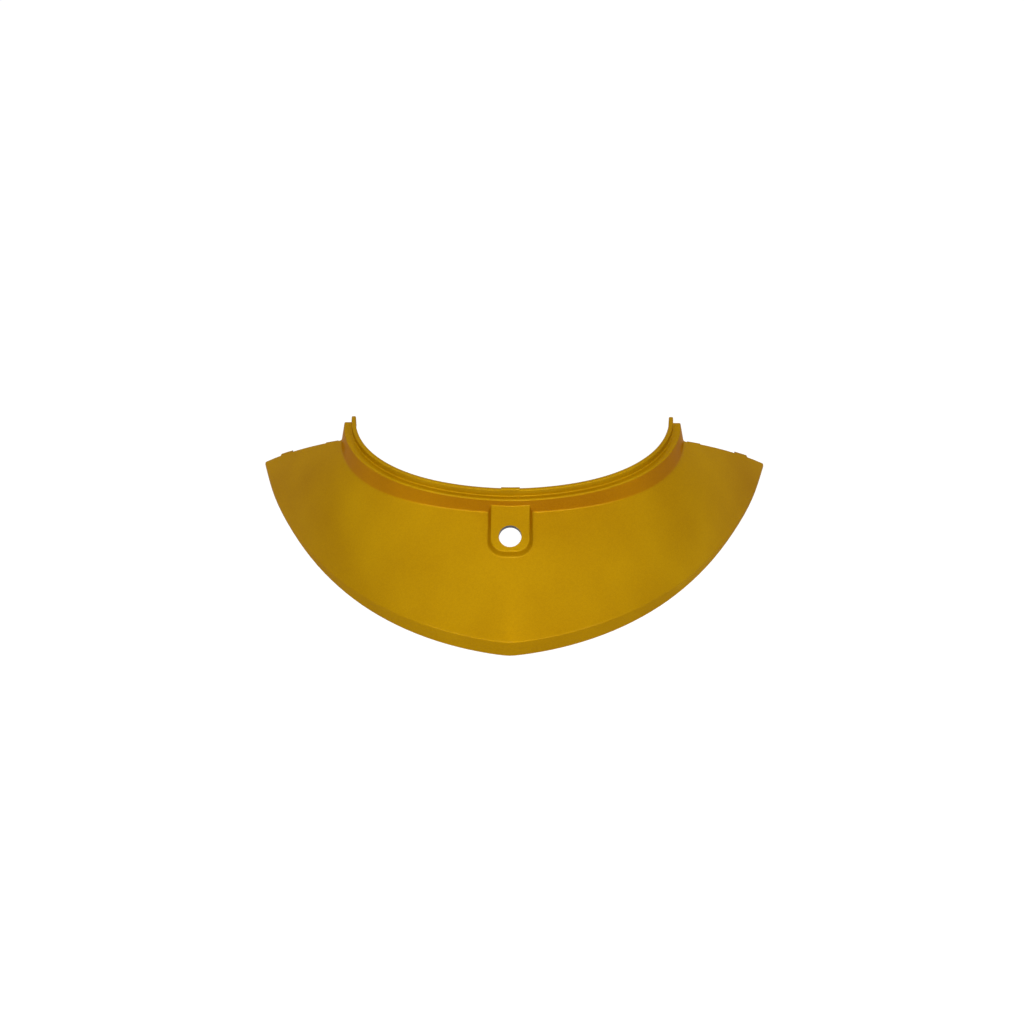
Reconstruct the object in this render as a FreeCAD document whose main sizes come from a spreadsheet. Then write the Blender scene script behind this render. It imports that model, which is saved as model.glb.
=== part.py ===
"""Tail trim of a scooter: one moulded panel round the rear of the seat, with a hole for the seat lock."""
import FreeCAD, Part
import math
import os

import Sketcher

V = FreeCAD.Vector
NODE = "panel_trim"

# Driving sizes in millimetres and degrees. Radii are measured in plan from the fan axis,
# a vertical line midway between the rim's two ends. Heights are measured from the flange's foot.
SIZES = {
    "wall": 2.5,
    "ledge_level": 75.0,
    "ledge_width_rear": 4.0,
    "ledge_width_side": 5.3,
    "ledge_round": 1.2,
    "lip_height": 5.0,
    "lip_thickness": 3.0,
    "lip_round": 0.9,
    "lip_foot_round": 0.8,
    "lip_tab_half_width": 6.2,
    "lip_tab_height": 0.8,
    "rim_rear_radius": 92.0,
    "rim_side_radius": 117.5,
    "rim_squareness": 2.3,
    "wall_height_rear": 10.0,
    "wall_height_side": 15.5,
    "wall_draft_rear": 0.8,
    "wall_draft_side": 3.0,
    "foot_round_rear": 2.5,
    "foot_round_side": 5.0,
    "edge_tip_reach": 162.6,
    "edge_tip_pull": 26.2,
    "edge_tip_round": 0.02,
    "edge_belly": 8.9,
    "edge_wing_flare": 4.2,
    "edge_round_rear": 2.0,
    "edge_round_side": 5.0,
    "deck_crown_rear": 5.0,
    "deck_crown_side": 12.0,
    "flange_height_rear": 10.5,
    "flange_height_side": 2.5,
    "flange_draft": 4.4,
    "section_ease": 3.0,
    "split_angle": 39.5,
    "tongue_width": 13.0,
    "tongue_length": 3.5,
    "tongue_root": 6.0,
    "tongue_drop": 2.5,
    "tongue_inner_place": 13.8,
    "tongue_outer_place": 63.1,
    "plate_lean": 4.3,
    "plate_half_width": 12.7,
    "plate_foot": 10.5,
    "plate_corner": 9.0,
    "plate_flare": 25.0,
    "plate_depth": 8.0,
    "plate_round": 1.0,
    "plate_blend": 1.5,
    "plate_thickness": 4.5,
    "lock_setback": 17.8,
    "lock_rise": 6.93,
    "lock_hole_radius": 7.5,
}

# Sizes that follow from the driving ones: the deck's slope from the wall's foot to the brink at the rear,
# the lock plate's tilt, a little flatter than the deck, and the lock's drop from the ledge, above the deck
DERIVED = {
    "deck_fall": "=ledge_level - wall_height_rear - flange_height_rear",
    "deck_run": "=edge_tip_reach - flange_height_rear * tan(flange_draft * 1 deg)"
                " - rim_rear_radius - wall_draft_rear",
    "deck_slope": "=atan(deck_fall / deck_run) / 1 deg",
    "plate_tilt": "=deck_slope - plate_lean",
    "lock_drop": "=wall_height_rear + (lock_setback - wall_draft_rear) * deck_fall / deck_run - lock_rise",
}

# Fan angles of the drawn sections, in degrees from straight back: close together at the tail's blunt point
FAN_ANGLES = (-12, -5, -2, 0, 2, 5, 12, 26, 40, 54, 68, 82, 96, 110)

# Distances in millimetres under which two points are one and two surfaces meet, and the share of the
# lock plate's blend by which a foot edge is stepped off to see whether it lies on the show side
SAME_POINT = 1e-6
MEETING_GAP = 1e-4
STEP_SHARE = 5

# The least volume in cubic millimetres that a cut has to take away
LEAST_CUT = 1.0

# The lock's place: behind the rim and below the ledge
LOCK_REACH = "(Sizes.rim_rear_radius + Sizes.lock_setback)"
LOCK_LEVEL = "(Sizes.ledge_level - Sizes.lock_drop)"

doc = FreeCAD.newDocument("tail_trim")
sheet = doc.addObject("Spreadsheet::Sheet", "Sizes")
for row, (alias, value) in enumerate([*SIZES.items(), *DERIVED.items()], start=1):
    sheet.set(f"A{row}", alias)
    sheet.set(f"B{row}", str(value))
    sheet.setAlias(f"B{row}", alias)
doc.recompute()


def size(alias):
    return float(sheet.get(alias))


def unit(vector):
    return vector * (1.0 / vector.Length)


def round_corner(before, corner, after, radius):
    """Start, middle and end of the arc that rounds a corner between two straight runs."""
    to_before = unit(before - corner)
    to_after = unit(after - corner)
    half = to_before.getAngle(to_after) / 2.0
    run = radius / math.tan(half)
    bisector = unit(to_before + to_after)
    centre = corner + bisector * (radius / math.sin(half))
    return corner + to_before * run, centre - bisector * radius, corner + to_after * run


def turned(vector, degrees):
    """A flat (reach, height) vector turned anticlockwise."""
    angle = math.radians(degrees)
    c = math.cos(angle)
    s = math.sin(angle)
    return V(vector.x * c - vector.y * s, vector.x * s + vector.y * c, 0)


def bezier(start, start_way, end, end_way):
    """A cubic curve that leaves start along start_way and reaches end along end_way."""
    handle = (end - start).Length / 3.0
    curve = Part.BezierCurve()
    curve.setPoles([start, start + start_way * handle, end - end_way * handle, end])
    return curve.toShape()


def line(start, end):
    return Part.LineSegment(start, end).toShape()


def arc(start, middle, end):
    return Part.Arc(start, middle, end).toShape()


def eased(name, swing, power="section_ease"):
    """A size that goes from its rear value to its side value round the fan."""
    rear = size(f"{name}_rear")
    return rear + (size(f"{name}_side") - rear) * swing ** size(power)


def rim_radius(swing):
    rear = size("rim_rear_radius")
    return rear + (size("rim_side_radius") - rear) * swing ** size("rim_squareness")


def edge_reach(fan):
    """Plan radius of the flange's foot: a blunt point at the tail, flaring forward along the wings."""
    blunt = size("edge_tip_round")
    pulled = math.hypot(fan, blunt) - blunt
    reach = size("edge_tip_reach") - size("edge_tip_pull") * pulled
    return reach + size("edge_belly") * fan ** 2 + size("edge_wing_flare") * fan ** 4


def lip_edges(rim, swing):
    """The lip and the ledge, from the lip's foot on the inside out to the ledge's brow."""
    level = size("ledge_level")
    top = level + size("lip_height")
    outside = rim - eased("ledge_width", swing)
    inside = outside - size("lip_thickness")
    base = V(inside, level - size("wall"), 0)
    inner_top = V(inside, top, 0)
    outer_top = V(outside, top, 0)
    corner = V(outside, level, 0)
    brow = V(rim, level, 0)
    first = round_corner(base, inner_top, outer_top, size("lip_round"))
    second = round_corner(inner_top, outer_top, corner, size("lip_round"))
    cove = round_corner(outer_top, corner, brow, size("lip_foot_round"))
    edges = [line(base, first[0]), arc(*first), line(first[2], second[0]), arc(*second)]
    edges += [line(second[2], cove[0]), arc(*cove)]
    return edges, base, cove[2]


def section_wire(degrees):
    """The moulding's thin section, drawn flat as (reach, height), in the plane at one fan angle."""
    fan = math.radians(degrees)
    swing = math.sin(min(abs(fan), math.pi / 2))
    wall = size("wall")
    level = size("ledge_level")
    rim = rim_radius(swing)
    edge = edge_reach(abs(fan))
    flange = eased("flange_height", swing)
    crown = eased("deck_crown", swing)
    foot_round = eased("foot_round", swing)

    # Sharp corners of the outer skin
    brow = V(rim, level, 0)
    foot = V(rim + eased("wall_draft", swing), level - eased("wall_height", swing), 0)
    brink = V(edge - flange * math.tan(math.radians(size("flange_draft"))), flange, 0)
    heel = V(edge, 0, 0)

    # The deck is crowned, so it leaves the foot flatter and meets the brink steeper than its chord
    chord = unit(brink - foot)
    leave = turned(chord, crown)
    arrive = turned(chord, -crown)
    wall_way = unit(foot - brow)
    flange_way = unit(heel - brink)
    edges, lip_base, cove_end = lip_edges(rim, swing)
    brow_arc = round_corner(cove_end, brow, foot, size("ledge_round"))
    foot_arc = round_corner(brow, foot, foot + leave, foot_round)
    brink_arc = round_corner(brink - arrive, brink, heel, eased("edge_round", swing))

    # Inner skin, one wall thickness behind the outer one
    foot_turn = wall_way.getAngle(leave)
    brink_turn = arrive.getAngle(flange_way)
    foot_in = foot + turned(wall_way, -90) * wall + wall_way * (wall * math.tan(foot_turn / 2))
    brink_in = brink + turned(arrive, -90) * wall - arrive * (wall * math.tan(brink_turn / 2))
    under_foot = round_corner(foot_in - wall_way, foot_in, foot_in + leave, foot_round + wall)
    ceiling = V(rim - wall, level - wall, 0)
    heel_in = V(edge - wall, 0, 0)

    edges += [
        line(cove_end, brow_arc[0]),
        arc(*brow_arc),
        line(brow_arc[2], foot_arc[0]),
        arc(*foot_arc),
        bezier(foot_arc[2], leave, brink_arc[0], arrive),
        arc(*brink_arc),
        line(brink_arc[2], heel),
        line(heel, heel_in),
        line(heel_in, brink_in),
        bezier(brink_in, -arrive, under_foot[2], -leave),
        arc(*reversed(under_foot)),
        line(under_foot[0], ceiling),
        line(ceiling, lip_base),
    ]
    wire = Part.Wire(edges)
    # Flat (reach, height) to the upright plane at this fan angle, rearward being -Y
    stand = FreeCAD.Placement(V(0, 0, 0), FreeCAD.Rotation(V(1, 0, 0), 90))
    swivel = FreeCAD.Placement(V(0, 0, 0), FreeCAD.Rotation(V(0, 0, 1), degrees - 90))
    wire.Placement = swivel.multiply(stand)
    return wire


def bind(thing, **expressions):
    """Tie properties to expressions over the sheet; a double underscore in a name stands for a dot."""
    for name, expression in expressions.items():
        thing.setExpression(name.replace("__", "."), expression)


def measure(sketch, kind, expression, *where):
    """Add a dimension to a sketch and tie it to the sheet."""
    index = sketch.addConstraint(Sketcher.Constraint(kind, *where, sketch.evalExpression(expression)))
    sketch.setExpression(f"Constraints[{index}]", expression)


def closed_loop(sketch, corners):
    """Straight sides through the corners, joined end to end. Returns the sides' numbers."""
    sides = []
    for start, end in zip(corners, corners[1:] + corners[:1]):
        sides.append(sketch.addGeometry(Part.LineSegment(V(*start), V(*end)), False))
    for side, following in zip(sides, sides[1:] + sides[:1]):
        sketch.addConstraint(Sketcher.Constraint("Coincident", side, 2, following, 1))
    return sides


def upright_prism(name, sketch):
    """The sketch's area carried straight up past the lip and down past the flange."""
    prism = doc.addObject("Part::Extrusion", name)
    prism.Base = sketch
    prism.DirMode = "Custom"
    prism.Dir = V(0, 0, 1)
    prism.Solid = True
    bind(prism, LengthFwd="2 * Sizes.ledge_level", LengthRev="Sizes.ledge_level")
    return prism


def half_outline():
    """What one half keeps in plan: behind the rim's end, and inside the slanting split."""
    sketch = doc.addObject("Sketcher::SketchObject", "half_outline")
    reach = 2 * size("edge_tip_reach")
    start = size("rim_side_radius") + size("wall_draft_side")
    rise = (reach - start) * math.tan(math.radians(size("split_angle")))
    rim_end, split, side, rear, middle = closed_loop(
        sketch, [(0, 0), (start, 0), (reach, rise), (reach, -reach), (0, -reach)]
    )
    sketch.addConstraint(Sketcher.Constraint("Coincident", rim_end, 1, -1, 1))
    sketch.addConstraint(Sketcher.Constraint("Horizontal", rim_end))
    sketch.addConstraint(Sketcher.Constraint("Vertical", side))
    sketch.addConstraint(Sketcher.Constraint("Horizontal", rear))
    sketch.addConstraint(Sketcher.Constraint("Vertical", middle))
    measure(sketch, "DistanceX", "Sizes.rim_side_radius + Sizes.wall_draft_side", rim_end, 1, rim_end, 2)
    measure(sketch, "DistanceX", "2 * Sizes.edge_tip_reach", rim_end, 1, side, 2)
    measure(sketch, "DistanceY", "2 * Sizes.edge_tip_reach", middle, 1, rim_end, 1)
    across = "(2 * Sizes.edge_tip_reach - Sizes.rim_side_radius - Sizes.wall_draft_side)"
    measure(sketch, "DistanceY", f"{across} * tan(Sizes.split_angle * 1 deg)", rim_end, 2, split, 2)
    return sketch


def tongue_outline():
    """Two tongues along the split, drawn with X along it from the wall's foot and Y out of the panel."""
    sketch = doc.addObject("Sketcher::SketchObject", "tongue_outline")
    sketch.Placement = FreeCAD.Placement(V(0, 0, 0), FreeCAD.Rotation(V(0, 0, 1), size("split_angle")))
    bind(
        sketch,
        Placement__Base__x="Sizes.rim_side_radius + Sizes.wall_draft_side",
        Placement__Rotation__Angle="Sizes.split_angle",
    )
    for place in ("tongue_inner_place", "tongue_outer_place"):
        left = size(place) - size("tongue_width") / 2
        right = left + size("tongue_width")
        low = -size("tongue_root")
        high = size("tongue_length")
        root, far_side, tip, near_side = closed_loop(
            sketch, [(left, low), (right, low), (right, high), (left, high)]
        )
        for side in (root, tip):
            sketch.addConstraint(Sketcher.Constraint("Horizontal", side))
        for side in (far_side, near_side):
            sketch.addConstraint(Sketcher.Constraint("Vertical", side))
        measure(sketch, "DistanceX", f"Sizes.{place} - Sizes.tongue_width / 2", -1, 1, root, 1)
        measure(sketch, "DistanceX", "Sizes.tongue_width", root, 1, root, 2)
        measure(sketch, "DistanceY", "Sizes.tongue_root", root, 1, -1, 1)
        measure(sketch, "DistanceY", "Sizes.tongue_length", -1, 1, tip, 1)
    return sketch


def plate_outline(name, depth, half_width, foot, corner):
    """The lock plate's tongue-shaped outline at a depth below its face, round the lock's axis."""
    sketch = doc.addObject("Sketcher::SketchObject", name)
    tilt = FreeCAD.Rotation(V(1, 0, 0), size("plate_tilt"))
    sketch.Placement = FreeCAD.Placement(V(0, 0, 0), tilt)
    bind(
        sketch,
        Placement__Rotation__Angle="Sizes.plate_tilt",
        Placement__Base__y=f"-{LOCK_REACH} + ({depth}) * sin(Sizes.plate_tilt * 1 deg)",
        Placement__Base__z=f"{LOCK_LEVEL} - ({depth}) * cos(Sizes.plate_tilt * 1 deg)",
    )
    doc.recompute()
    wide = sketch.evalExpression(half_width)
    low = -sketch.evalExpression(foot)
    turn = sketch.evalExpression(corner)
    high = size("rim_rear_radius") / 2
    up = V(0, 0, 1)
    left = sketch.addGeometry(Part.LineSegment(V(-wide, high), V(-wide, low + turn)), False)
    left_round = Part.Circle(V(turn - wide, low + turn), up, turn)
    left_turn = sketch.addGeometry(Part.ArcOfCircle(left_round, math.pi, 1.5 * math.pi), False)
    bottom = sketch.addGeometry(Part.LineSegment(V(turn - wide, low), V(wide - turn, low)), False)
    right_round = Part.Circle(V(wide - turn, low + turn), up, turn)
    right_turn = sketch.addGeometry(Part.ArcOfCircle(right_round, 1.5 * math.pi, 2 * math.pi), False)
    right = sketch.addGeometry(Part.LineSegment(V(wide, low + turn), V(wide, high)), False)
    head = sketch.addGeometry(Part.LineSegment(V(wide, high), V(-wide, high)), False)
    run = (left, left_turn, bottom, right_turn, right)
    for first, second in zip(run, run[1:]):
        sketch.addConstraint(Sketcher.Constraint("Tangent", first, 2, second, 1))
    sketch.addConstraint(Sketcher.Constraint("Coincident", right, 2, head, 1))
    sketch.addConstraint(Sketcher.Constraint("Coincident", head, 2, left, 1))
    for side in (left, right):
        sketch.addConstraint(Sketcher.Constraint("Vertical", side))
    for side in (bottom, head):
        sketch.addConstraint(Sketcher.Constraint("Horizontal", side))
    sketch.addConstraint(Sketcher.Constraint("Equal", left_turn, right_turn))
    measure(sketch, "DistanceX", half_width, left, 1, -1, 1)
    measure(sketch, "DistanceX", half_width, -1, 1, right, 2)
    measure(sketch, "DistanceY", foot, bottom, 1, -1, 1)
    measure(sketch, "DistanceY", "Sizes.rim_rear_radius / 2", -1, 1, head, 1)
    measure(sketch, "Radius", corner, left_turn)
    return sketch


def plate_block(name, top_depth, inset, bottom_depth):
    """The lock plate's flared form between two depths, drawn in all round by an inset."""
    outlines = []
    for stage, depth in (("face", top_depth), ("base", bottom_depth)):
        growth = f"({depth}) * tan(Sizes.plate_flare * 1 deg) - ({inset})"
        outlines.append(
            plate_outline(
                f"{name}_{stage}",
                depth,
                f"Sizes.plate_half_width + {growth}",
                f"Sizes.plate_foot + {growth}",
                f"Sizes.plate_corner + {growth}",
            )
        )
    block = doc.addObject("Part::Loft", name)
    block.Sections = outlines
    block.Solid = True
    block.Ruled = True
    return block


def plate_foot_edges():
    """Numbers of the edges where the lock plate rises out of the deck and the wall, on the show side."""
    halves = Part.Compound(finished_half.Shape.Shells + other_half.Shape.Shells)
    block = Part.Compound(plate_trimmed.Shape.Shells)
    step_out = plate.Sections[0].Placement.Rotation.multVec(V(0, 0, size("plate_blend") / STEP_SHARE))
    found = []
    for index, edge in enumerate(whole.Shape.Edges, start=1):
        middle = edge.valueAt((edge.FirstParameter + edge.LastParameter) / 2)
        if not block.BoundBox.isInside(middle):
            continue
        point = Part.Vertex(middle)
        gap = max(point.distToShape(halves)[0], point.distToShape(block)[0])
        if gap < MEETING_GAP and not whole.Shape.isInside(middle + step_out, SAME_POINT, False):
            found.append(index)
    return found


def fan_cylinder(name, radius):
    """An upright cylinder about the fan axis, to stop a block at the curved wall."""
    cylinder = doc.addObject("Part::Cylinder", name)
    bind(cylinder, Radius=radius, Height="2 * Sizes.ledge_level")
    return cylinder


def combine(kind, name, base, tool):
    result = doc.addObject(kind, name)
    result.Base = base
    result.Tool = tool
    return result


def fuse(name, pieces):
    result = doc.addObject("Part::MultiFuse", name)
    result.Shapes = pieces
    return result


# One half of the moulding: a loft through the fan of sections, trimmed to its outline in plan
sections = []
for index, degrees in enumerate(FAN_ANGLES):
    section = doc.addObject("Part::Feature", f"section_{index}")
    section.Shape = section_wire(degrees)
    sections.append(section)
sweep = doc.addObject("Part::Loft", "half_moulding")
sweep.Sections = sections
sweep.Solid = True
sweep.Ruled = False
doc.recompute()
half_prism = upright_prism("half_prism", half_outline())
half = combine("Part::Common", "half_panel", sweep, half_prism)


def shifted(name, rise):
    """The moulding's own form moved up or down, to be trimmed to a tongue or a tab."""
    layer = doc.addObject("Part::Feature", name)
    layer.Shape = sweep.Shape
    layer.Placement = FreeCAD.Placement(V(0, 0, rise), FreeCAD.Rotation())
    return layer


# Tongues: the deck's own form carried past the split, one step lower
tongue_prism = upright_prism("tongue_prism", tongue_outline())
tongues = combine("Part::Common", "tongues", shifted("tongue_layer", -size("tongue_drop")), tongue_prism)

# Half of the low tab at the middle of the lip
tab_block = doc.addObject("Part::Box", "tab_block")
bind(
    tab_block,
    Length="Sizes.lip_tab_half_width",
    Width="Sizes.rim_rear_radius",
    Height="Sizes.lip_height",
    Placement__Base__y="-Sizes.rim_rear_radius",
    Placement__Base__z="Sizes.ledge_level + Sizes.lip_height - Sizes.lip_round",
)
tab = combine("Part::Common", "lip_tab", shifted("tab_layer", size("lip_tab_height")), tab_block)
finished_half = fuse("finished_half", [half, tongues, tab])
other_half = doc.addObject("Part::Mirroring", "other_half")
other_half.Source = finished_half
other_half.Normal = V(1, 0, 0)

# The lock plate, raised off the deck and hollow behind
plate = plate_block("plate", "0", "0", "Sizes.plate_depth")
doc.recompute()
face_edges = []
for index, edge in enumerate(plate.Shape.Edges, start=1):
    local = plate.Sections[0].Placement.inverse()
    ends = [local.multVec(vertex.Point) for vertex in edge.Vertexes]
    on_face = all(abs(end.z) < SAME_POINT for end in ends)
    at_head = all(end.y > size("rim_rear_radius") / 2 - SAME_POINT for end in ends)
    if on_face and not at_head:
        face_edges.append((index, size("plate_round"), size("plate_round")))
plate_rounded = doc.addObject("Part::Fillet", "plate_rounded")
plate_rounded.Base = plate
plate_rounded.Edges = face_edges
plate_stop = fan_cylinder("plate_stop", "Sizes.rim_rear_radius - Sizes.wall / 2")
plate_trimmed = combine("Part::Cut", "plate_trimmed", plate_rounded, plate_stop)
skin = "Sizes.wall / cos(Sizes.plate_flare * 1 deg)"
hollow = plate_block("hollow", "Sizes.plate_thickness", skin, "Sizes.plate_depth + 2 * Sizes.wall")
hollow_stop = fan_cylinder("hollow_stop", "Sizes.rim_rear_radius + Sizes.wall_draft_rear")
hollow_trimmed = combine("Part::Cut", "hollow_trimmed", hollow, hollow_stop)
whole = fuse("whole", [finished_half, other_half, plate_trimmed])
doc.recompute()
blended = doc.addObject("Part::Fillet", "plate_blended")
blended.Base = whole
blended.Edges = [(index, size("plate_blend"), size("plate_blend")) for index in plate_foot_edges()]
hollowed = combine("Part::Cut", "hollowed", blended, hollow_trimmed)

# The seat lock's hole, square to the plate
drill = doc.addObject("Part::Cylinder", "lock_drill")
drill.Placement = FreeCAD.Placement(V(0, 0, 0), FreeCAD.Rotation(V(1, 0, 0), size("plate_tilt")))
bind(
    drill,
    Radius="Sizes.lock_hole_radius",
    Height="4 * Sizes.plate_thickness",
    Placement__Rotation__Angle="Sizes.plate_tilt",
    Placement__Base__y=f"-{LOCK_REACH} + 2 * Sizes.plate_thickness * sin(Sizes.plate_tilt * 1 deg)",
    Placement__Base__z=f"{LOCK_LEVEL} - 2 * Sizes.plate_thickness * cos(Sizes.plate_tilt * 1 deg)",
)
panel = combine("Part::Cut", NODE, hollowed, drill)
panel.Label = NODE
bind(panel, Placement__Base__y=LOCK_REACH, Placement__Base__z=f"-{LOCK_LEVEL}")
doc.recompute()

for thing in doc.Objects:
    if "Invalid" in thing.State or "Error" in thing.State:
        raise RuntimeError(f"{thing.Name} did not build: {thing.State}")
shape = panel.Shape
if shape.isNull() or not shape.isValid():
    raise RuntimeError("the panel's shape is not valid")
if len(shape.Solids) != 1:
    raise RuntimeError(f"the panel came out as {len(shape.Solids)} solids")
for cut, before in ((hollowed, whole), (panel, hollowed)):
    if cut.Shape.Volume > before.Shape.Volume - LEAST_CUT:
        raise RuntimeError(f"{cut.Name} removed nothing")

os.makedirs("parts", exist_ok=True)
shape.exportStep(f"parts/{NODE}.step")
box = shape.BoundBox
print(f"{NODE}: {box.XLength:.1f} x {box.YLength:.1f} x {box.ZLength:.1f} mm, {shape.Volume:.0f} mm3,"
      f" {len(shape.Faces)} faces")
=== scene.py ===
import math

import bmesh
import bpy
from mathutils import Matrix, Vector
from mathutils.bvhtree import BVHTree


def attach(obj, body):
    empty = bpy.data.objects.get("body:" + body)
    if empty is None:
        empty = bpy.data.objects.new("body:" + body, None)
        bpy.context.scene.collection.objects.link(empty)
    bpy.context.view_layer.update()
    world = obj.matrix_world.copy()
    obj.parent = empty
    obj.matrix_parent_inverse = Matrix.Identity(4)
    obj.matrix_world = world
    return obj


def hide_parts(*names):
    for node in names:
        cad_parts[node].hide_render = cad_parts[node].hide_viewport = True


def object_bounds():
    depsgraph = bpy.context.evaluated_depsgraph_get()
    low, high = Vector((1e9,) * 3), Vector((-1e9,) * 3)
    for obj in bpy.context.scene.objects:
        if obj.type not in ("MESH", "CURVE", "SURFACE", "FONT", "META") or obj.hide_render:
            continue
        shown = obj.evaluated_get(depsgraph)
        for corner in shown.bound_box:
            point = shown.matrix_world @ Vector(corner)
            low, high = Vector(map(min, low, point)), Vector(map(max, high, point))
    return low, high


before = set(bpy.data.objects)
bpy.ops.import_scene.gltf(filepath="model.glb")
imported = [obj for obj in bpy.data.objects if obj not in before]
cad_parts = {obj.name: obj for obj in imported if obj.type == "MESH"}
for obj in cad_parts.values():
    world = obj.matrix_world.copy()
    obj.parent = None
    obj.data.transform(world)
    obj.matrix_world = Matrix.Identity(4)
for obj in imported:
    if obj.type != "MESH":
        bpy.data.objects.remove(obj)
cadBox = [list(corner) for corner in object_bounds()]
print("frame loaded:", sorted(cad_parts))

footGap = 0.0003
studioFloor = cadBox[0][2] - footGap  # just under the flange's foot


# small helpers for node trees

def newMaterial(name):
    material = bpy.data.materials.new(name)
    material.use_nodes = True
    tree = material.node_tree
    tree.nodes.clear()
    return material, tree


def addNode(tree, kind, **settings):
    node = tree.nodes.new(kind)
    for name, value in settings.items():
        setattr(node, name, value)
    return node


def link(tree, source, target):
    tree.links.new(source, target)


# paint and bare plastic

paint = {
    "deepGold": (0.43, 0.215, 0.0006, 1),
    "brightGold": (0.58, 0.322, 0.0018, 1),
    "toneRange": (0.35, 1.0),
    # painted shade and reflection: the tint that darkens the steep wall under the ledge
    "paintedWallShadeTint": (0.94, 0.73, 0.34, 1),
    "wallFoot": (0.000, 0.004),
    "wallTop": (0.0165, 0.0150),
    "wallLean": (0.60, 0.25),
    "metal": 0.27,
    "roughness": 0.35,
    "gloss": 0.0,
    "edgeTint": (1.0, 0.60, 0.08, 1),
    "coat": 0.06,
    "coatRoughness": 0.14,
    "flakesPerMetre": 1500,
    "flakeShare": 0.2,
    "driftPerMetre": 14,
    "driftDetail": 2,
    "peelPerMetre": 330,
    "peelHeight": 0.00003,
    "peelShare": 0.5,
}


def fadeBetween(tree, source, ends):
    fade = addNode(tree, "ShaderNodeMapRange", interpolation_type="SMOOTHSTEP")
    fade.inputs["From Min"].default_value = ends[0]
    fade.inputs["From Max"].default_value = ends[1]
    link(tree, source, fade.inputs["Value"])
    return fade.outputs["Result"]


def product(tree, first, second):
    node = addNode(tree, "ShaderNodeMath", operation="MULTIPLY")
    link(tree, first, node.inputs[0])
    link(tree, second, node.inputs[1])
    return node.outputs["Value"]


# how far a spot lies on the steep wall under the ledge, where painted shade and a painted reflection of
# the gold deck make the paint darker and more orange
def paintedWallShadeShare(tree, place):
    spot = addNode(tree, "ShaderNodeSeparateXYZ")
    link(tree, place.outputs["Object"], spot.inputs["Vector"])
    facing = addNode(tree, "ShaderNodeAttribute", attribute_name="facingUp")
    aboveFoot = fadeBetween(tree, spot.outputs["Z"], paint["wallFoot"])
    belowTop = fadeBetween(tree, spot.outputs["Z"], paint["wallTop"])
    steep = fadeBetween(tree, facing.outputs["Fac"], paint["wallLean"])
    return product(tree, product(tree, aboveFoot, belowTop), steep)


def makeGoldPaint():
    material, tree = newMaterial("goldFlakePaint")
    place = addNode(tree, "ShaderNodeTexCoord")
    flakes = addNode(tree, "ShaderNodeTexVoronoi", feature="F1")
    flakes.inputs["Scale"].default_value = paint["flakesPerMetre"]
    link(tree, place.outputs["Object"], flakes.inputs["Vector"])
    glint = addNode(tree, "ShaderNodeSeparateColor")
    link(tree, flakes.outputs["Color"], glint.inputs["Color"])
    drift = addNode(tree, "ShaderNodeTexNoise")
    drift.inputs["Scale"].default_value = paint["driftPerMetre"]
    drift.inputs["Detail"].default_value = paint["driftDetail"]
    link(tree, place.outputs["Object"], drift.inputs["Vector"])
    blend = addNode(tree, "ShaderNodeMath", operation="MULTIPLY_ADD")
    blend.inputs[1].default_value = paint["flakeShare"]
    link(tree, glint.outputs["Red"], blend.inputs[0])
    link(tree, drift.outputs["Fac"], blend.inputs[2])
    tone = addNode(tree, "ShaderNodeValToRGB")
    tone.color_ramp.elements[0].position = paint["toneRange"][0]
    tone.color_ramp.elements[0].color = paint["deepGold"]
    tone.color_ramp.elements[1].position = paint["toneRange"][1]
    tone.color_ramp.elements[1].color = paint["brightGold"]
    link(tree, blend.outputs["Value"], tone.inputs["Fac"])
    # painted shade and reflection: the wall under the ledge is multiplied darker and more orange than the
    # deck
    paintedWallShade = addNode(tree, "ShaderNodeMix", data_type="RGBA", blend_type="MULTIPLY")
    paintedWallShade.inputs["B"].default_value = paint["paintedWallShadeTint"]
    link(tree, tone.outputs["Color"], paintedWallShade.inputs["A"])
    link(tree, paintedWallShadeShare(tree, place), paintedWallShade.inputs["Factor"])
    peel = addNode(tree, "ShaderNodeTexNoise")
    peel.inputs["Scale"].default_value = paint["peelPerMetre"]
    link(tree, place.outputs["Object"], peel.inputs["Vector"])
    bump = addNode(tree, "ShaderNodeBump")
    bump.inputs["Strength"].default_value = paint["peelShare"]
    bump.inputs["Distance"].default_value = paint["peelHeight"]
    link(tree, peel.outputs["Fac"], bump.inputs["Height"])
    shader = addNode(tree, "ShaderNodeBsdfPrincipled")
    shader.inputs["Metallic"].default_value = paint["metal"]
    shader.inputs["Roughness"].default_value = paint["roughness"]
    shader.inputs["Specular IOR Level"].default_value = paint["gloss"]
    shader.inputs["Specular Tint"].default_value = paint["edgeTint"]
    shader.inputs["Coat Weight"].default_value = paint["coat"]
    shader.inputs["Coat Roughness"].default_value = paint["coatRoughness"]
    link(tree, paintedWallShade.outputs["Result"], shader.inputs["Base Color"])
    link(tree, bump.outputs["Normal"], shader.inputs["Normal"])
    output = addNode(tree, "ShaderNodeOutputMaterial")
    link(tree, shader.outputs["BSDF"], output.inputs["Surface"])
    return material


# bare plastic behind the paint, with a mist of gold that drifted in round the foot

bare = {
    "plastic": (0.016, 0.016, 0.017, 1),
    "mistGold": (0.30, 0.150, 0.006, 1),
    "roughness": 0.52,
    "mistTop": -0.030,
    "mistShare": 0.75,
    "mistGrainPerMetre": 900,
    "mistDetail": 3,
    "grainPerMetre": 700,
    "grainHeight": 0.00004,
    "grainShare": 0.6,
}


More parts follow.
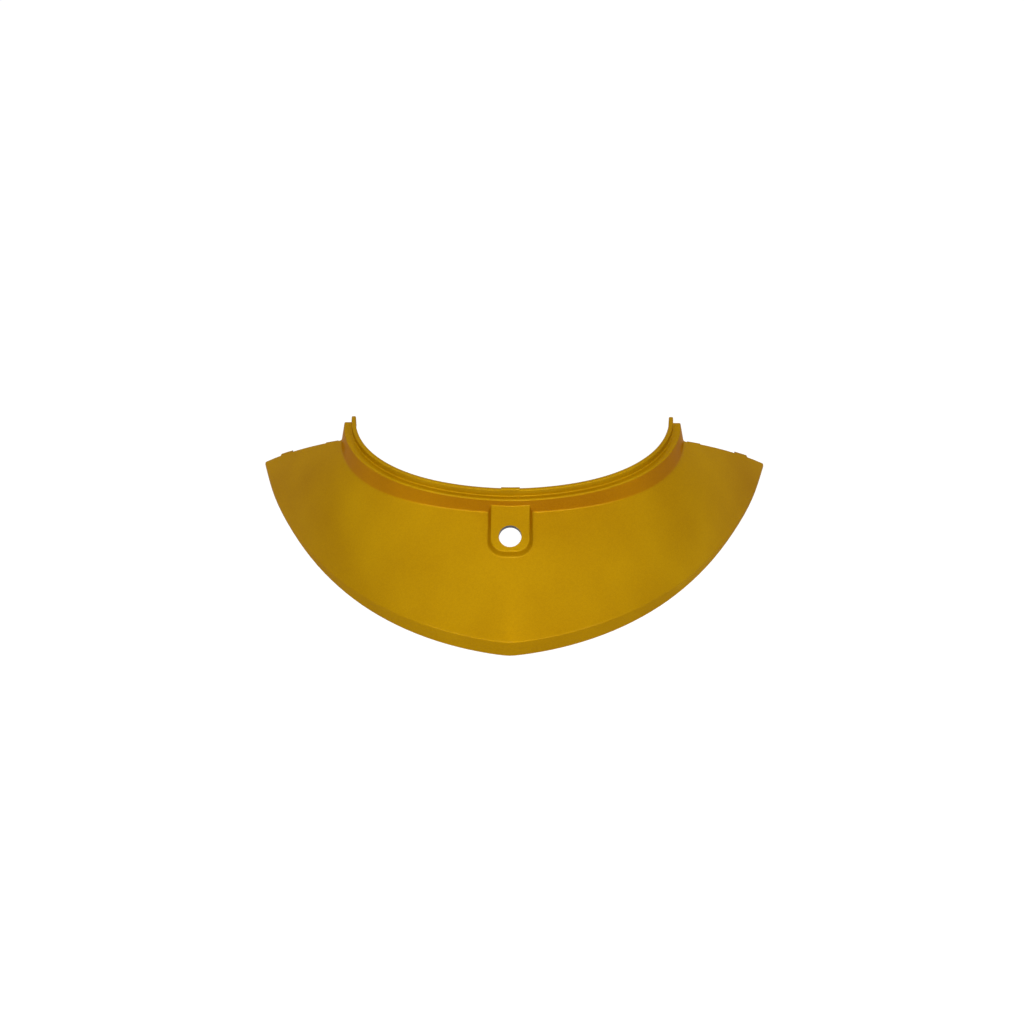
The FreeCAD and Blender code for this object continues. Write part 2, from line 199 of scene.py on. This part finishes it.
def makeBarePlastic():
    material, tree = newMaterial("barePlastic")
    place = addNode(tree, "ShaderNodeTexCoord")
    height = addNode(tree, "ShaderNodeSeparateXYZ")
    link(tree, place.outputs["Object"], height.inputs["Vector"])
    drift = addNode(tree, "ShaderNodeMapRange", interpolation_type="SMOOTHSTEP")
    drift.inputs["From Min"].default_value = bare["mistTop"]
    drift.inputs["From Max"].default_value = studioFloor
    drift.inputs["To Max"].default_value = bare["mistShare"]
    link(tree, height.outputs["Z"], drift.inputs["Value"])
    specks = addNode(tree, "ShaderNodeTexNoise")
    specks.inputs["Scale"].default_value = bare["mistGrainPerMetre"]
    specks.inputs["Detail"].default_value = bare["mistDetail"]
    link(tree, place.outputs["Object"], specks.inputs["Vector"])
    mist = addNode(tree, "ShaderNodeMath", operation="MULTIPLY", use_clamp=True)
    link(tree, drift.outputs["Result"], mist.inputs[0])
    link(tree, specks.outputs["Fac"], mist.inputs[1])
    color = addNode(tree, "ShaderNodeMix", data_type="RGBA")
    color.inputs["A"].default_value = bare["plastic"]
    color.inputs["B"].default_value = bare["mistGold"]
    link(tree, mist.outputs["Value"], color.inputs["Factor"])
    grain = addNode(tree, "ShaderNodeTexNoise")
    grain.inputs["Scale"].default_value = bare["grainPerMetre"]
    link(tree, place.outputs["Object"], grain.inputs["Vector"])
    bump = addNode(tree, "ShaderNodeBump")
    bump.inputs["Strength"].default_value = bare["grainShare"]
    bump.inputs["Distance"].default_value = bare["grainHeight"]
    link(tree, grain.outputs["Fac"], bump.inputs["Height"])
    shader = addNode(tree, "ShaderNodeBsdfPrincipled")
    shader.inputs["Roughness"].default_value = bare["roughness"]
    link(tree, color.outputs["Result"], shader.inputs["Base Color"])
    link(tree, bump.outputs["Normal"], shader.inputs["Normal"])
    output = addNode(tree, "ShaderNodeOutputMaterial")
    link(tree, shader.outputs["BSDF"], output.inputs["Surface"])
    return material


# the panel: a merged copy of the moulding, smooth but for its cut edges

panelLook = {
    "mergeGap": 0.000002,
    "cutEdgeAngle": math.radians(48),
    "sprayTurns": 16,
    "spraySlopes": (35, 60, 82),
    "sprayReach": 0.6,
    "sprayStart": 0.0003,
    "coveredFrom": 0.18,
    "speckArea": 0.000005,  # smaller patches than this are painted with what is round them
    "normalWeight": 50,
}


def sprayWays():
    ways = []
    for slope in panelLook["spraySlopes"]:
        rise = math.radians(slope)
        for turn in range(panelLook["sprayTurns"]):
            around = math.tau * turn / panelLook["sprayTurns"]
            level = Vector((math.cos(around), math.sin(around), 0)) * math.cos(rise)
            ways.append(level + Vector((0, 0, math.sin(rise))))
    return ways


def coveredShare(face, tree, ways):
    start = face.calc_center_median() + face.normal * panelLook["sprayStart"]
    reached = 0.0
    for way in ways:
        lean = way.dot(face.normal)
        if lean > 0 and tree.ray_cast(start, way, panelLook["sprayReach"])[0] is None:
            reached += lean
    return reached / len(ways)


# faces that run into each other without a sharp edge between them
def smoothPatches(bm):
    waiting = set(bm.faces)
    patches = []
    while waiting:
        patch = []
        front = [waiting.pop()]
        while front:
            face = front.pop()
            patch.append(face)
            for edge in face.edges:
                if edge.smooth:
                    joined = waiting.intersection(edge.link_faces)
                    waiting -= joined
                    front.extend(joined)
        patches.append(patch)
    return patches


def makePanel():
    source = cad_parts["panel_trim"]
    mesh = source.data.copy()
    mesh.name = "panelTrim"
    mesh.materials.clear()
    bm = bmesh.new()
    bm.from_mesh(mesh)
    bmesh.ops.remove_doubles(bm, verts=bm.verts, dist=panelLook["mergeGap"])
    bm.normal_update()
    tree = BVHTree.FromBMesh(bm)
    ways = sprayWays()
    for edge in bm.edges:
        edge.smooth = edge.calc_face_angle(math.pi) < panelLook["cutEdgeAngle"]
    hidden = 0
    for patch in smoothPatches(bm):
        area = sum(face.calc_area() for face in patch)
        reached = sum(coveredShare(face, tree, ways) * face.calc_area() for face in patch) / area
        covered = reached > panelLook["coveredFrom"] or area < panelLook["speckArea"]
        for face in patch:
            face.smooth = True
            face.material_index = 0 if covered else 1
        hidden += 0 if covered else len(patch)
    bm.to_mesh(mesh)
    bm.free()
    # normal z per corner, which sets where the painted wall shade falls
    facing = mesh.attributes.new("facingUp", "FLOAT", "CORNER")
    for corner, normal in enumerate(mesh.corner_normals):
        facing.data[corner].value = normal.vector.z
    mesh.materials.append(makeGoldPaint())
    mesh.materials.append(makeBarePlastic())
    panel = bpy.data.objects.new("panelTrimPainted", mesh)
    bpy.context.scene.collection.objects.link(panel)
    weighted = panel.modifiers.new("evenNormals", "WEIGHTED_NORMAL")
    weighted.keep_sharp = True
    weighted.weight = panelLook["normalWeight"]
    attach(panel, "root")
    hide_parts("panel_trim")
    print("panel:", len(mesh.polygons), "faces,", hidden, "of them bare")


makePanel()


# camera where the photographer stood

shot = {
    "aim": Vector((-0.0016, 0.0498, -0.0585)),
    "distance": 1.3,
    "elevation": math.radians(38),
    "swing": math.radians(1.144),
    "roll": math.radians(-0.482),
    "lens": 65.29,
    "aimPixel": (509.4, 559.6),
    "frameWidth": 1024,
}


def makeCamera():
    data = bpy.data.cameras.new("shotCamera")
    camera = bpy.data.objects.new("shotCamera", data)
    bpy.context.scene.collection.objects.link(camera)
    level = math.cos(shot["elevation"])
    rise = math.sin(shot["elevation"])
    back = Vector((math.sin(shot["swing"]) * level, -math.cos(shot["swing"]) * level, rise))
    across = Vector((math.cos(shot["swing"]), math.sin(shot["swing"]), 0))
    turn = Matrix((across, back.cross(across), back)).transposed()
    turn = turn @ Matrix.Rotation(shot["roll"], 3, "Z")
    camera.matrix_world = Matrix.LocRotScale(shot["aim"] + back * shot["distance"], turn, None)
    data.lens = shot["lens"]
    half = shot["frameWidth"] / 2
    data.shift_x = (half - shot["aimPixel"][0]) / shot["frameWidth"]
    data.shift_y = (shot["aimPixel"][1] - half) / shot["frameWidth"]
    bpy.context.scene.camera = camera


makeCamera()
print("camera set")


# floor, sky and lamps

studio = {
    "floorRadius": 60.0,
    "floorSides": 64,
    "floorColor": (0.18, 0.18, 0.18, 1),
    "floorGlow": 0.96,
    "skySeen": (1, 1, 1, 1),
    "skyLow": (0.26, 0.26, 0.26, 1),
    "skyHigh": (0.24, 0.24, 0.24, 1),
    "skyHighFrom": 0.75,
    "softbox": {"place": (0.02, -1.25, 0.56), "width": 3.6, "height": 0.3, "watts": 17},
    "flash": {"place": (0.06, -0.98, 0.80), "width": 0.06, "height": 0.06, "watts": 1.8},
    "topLamp": {"place": (0.0, 0.18, 1.30), "width": 1.6, "height": 0.7, "watts": 4.4},
}


# which rays see the floor and the sky as plain white
def seenShare(tree):
    path = addNode(tree, "ShaderNodeLightPath")
    total = path.outputs["Is Camera Ray"]
    for kind in ("Is Glossy Ray", "Is Transmission Ray"):
        either = addNode(tree, "ShaderNodeMath", operation="MAXIMUM")
        link(tree, total, either.inputs[0])
        link(tree, path.outputs[kind], either.inputs[1])
        total = either.outputs["Value"]
    return total


def makeFloor():
    bm = bmesh.new()
    bmesh.ops.create_circle(bm, cap_ends=True, segments=studio["floorSides"], radius=studio["floorRadius"])
    bmesh.ops.translate(bm, verts=bm.verts, vec=(0, 0, studioFloor))
    mesh = bpy.data.meshes.new("floor")
    bm.to_mesh(mesh)
    bm.free()
    material, tree = newMaterial("palePaper")
    matte = addNode(tree, "ShaderNodeBsdfDiffuse")
    matte.inputs["Color"].default_value = studio["floorColor"]
    glow = addNode(tree, "ShaderNodeEmission")
    strength = addNode(tree, "ShaderNodeMath", operation="MULTIPLY")
    strength.inputs[1].default_value = studio["floorGlow"]
    link(tree, seenShare(tree), strength.inputs[0])
    link(tree, strength.outputs["Value"], glow.inputs["Strength"])
    both = addNode(tree, "ShaderNodeAddShader")
    link(tree, matte.outputs["BSDF"], both.inputs[0])
    link(tree, glow.outputs["Emission"], both.inputs[1])
    output = addNode(tree, "ShaderNodeOutputMaterial")
    link(tree, both.outputs["Shader"], output.inputs["Surface"])
    mesh.materials.append(material)
    floor = bpy.data.objects.new("floor", mesh)
    bpy.context.scene.collection.objects.link(floor)


def makeSky():
    world = bpy.data.worlds.new("studioSky")
    world.use_nodes = True
    tree = world.node_tree
    tree.nodes.clear()
    place = addNode(tree, "ShaderNodeTexCoord")
    height = addNode(tree, "ShaderNodeSeparateXYZ")
    link(tree, place.outputs["Generated"], height.inputs["Vector"])
    fade = addNode(tree, "ShaderNodeValToRGB")
    fade.color_ramp.elements[0].color = studio["skyLow"]
    fade.color_ramp.elements[1].position = studio["skyHighFrom"]
    fade.color_ramp.elements[1].color = studio["skyHigh"]
    link(tree, height.outputs["Z"], fade.inputs["Fac"])
    light = addNode(tree, "ShaderNodeBackground")
    link(tree, fade.outputs["Color"], light.inputs["Color"])
    white = addNode(tree, "ShaderNodeBackground")
    white.inputs["Color"].default_value = studio["skySeen"]
    seen = addNode(tree, "ShaderNodeMixShader")
    link(tree, seenShare(tree), seen.inputs["Fac"])
    link(tree, light.outputs["Background"], seen.inputs[1])
    link(tree, white.outputs["Background"], seen.inputs[2])
    output = addNode(tree, "ShaderNodeOutputWorld")
    link(tree, seen.outputs["Shader"], output.inputs["Surface"])
    bpy.context.scene.world = world


def makeLamp(name):
    settings = studio[name]
    data = bpy.data.lights.new(name, "AREA")
    data.shape = "RECTANGLE"
    data.size = settings["width"]
    data.size_y = settings["height"]
    data.energy = settings["watts"]
    lamp = bpy.data.objects.new(name, data)
    bpy.context.scene.collection.objects.link(lamp)
    lamp.location = settings["place"]
    aim = shot["aim"] - lamp.location
    lamp.rotation_euler = aim.to_track_quat("-Z", "Y").to_euler()


makeFloor()
makeSky()
makeLamp("softbox")
makeLamp("flash")
makeLamp("topLamp")
bpy.context.scene.view_settings.view_transform = "Standard"
print("studio lit")
